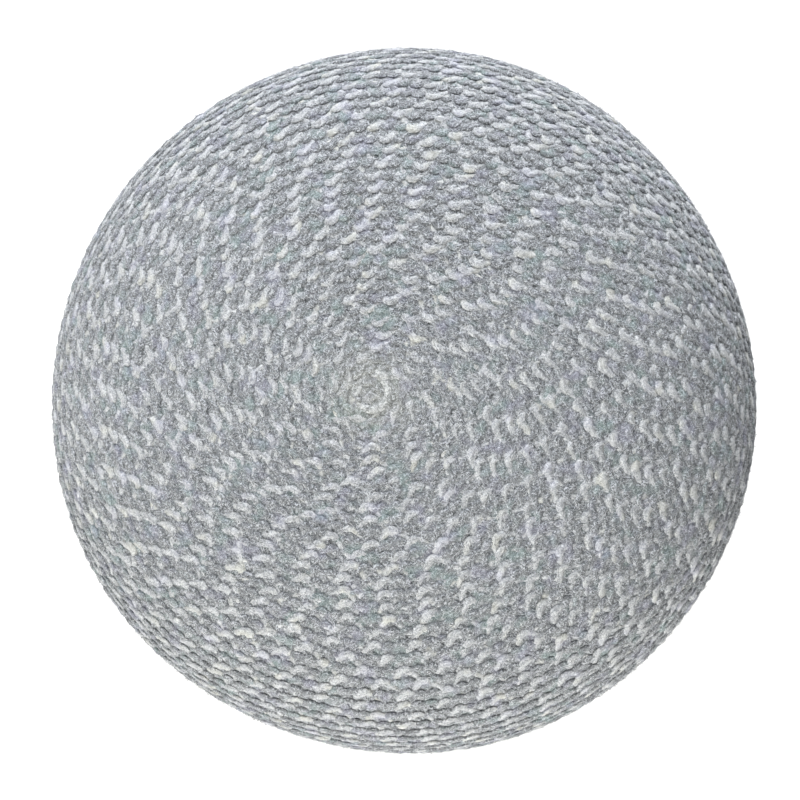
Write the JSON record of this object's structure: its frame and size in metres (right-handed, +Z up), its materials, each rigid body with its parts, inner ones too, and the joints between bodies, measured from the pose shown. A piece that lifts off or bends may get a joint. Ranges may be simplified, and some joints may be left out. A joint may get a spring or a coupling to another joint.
{
  "type": "braided pouf",
  "caption": "Round filled pouf with a domed top and rounded sides, covered in spirally wound braid, used as a footrest or low seat.",
  "frame": {"origin": "on the floor under the middle of the pouf", "axes": "+Z up through the middle of the winding; +X towards the right and +Y towards the top of the picture"},
  "size_m": [0.5088, 0.5066, 0.278],
  "materials": {
    "braid_yarn": "matt braided yarn, heathered grey with off-white"
  },
  "bodies": {
    "root": {"braided_cover": "braid_yarn"}
  },
  "joints": []
}
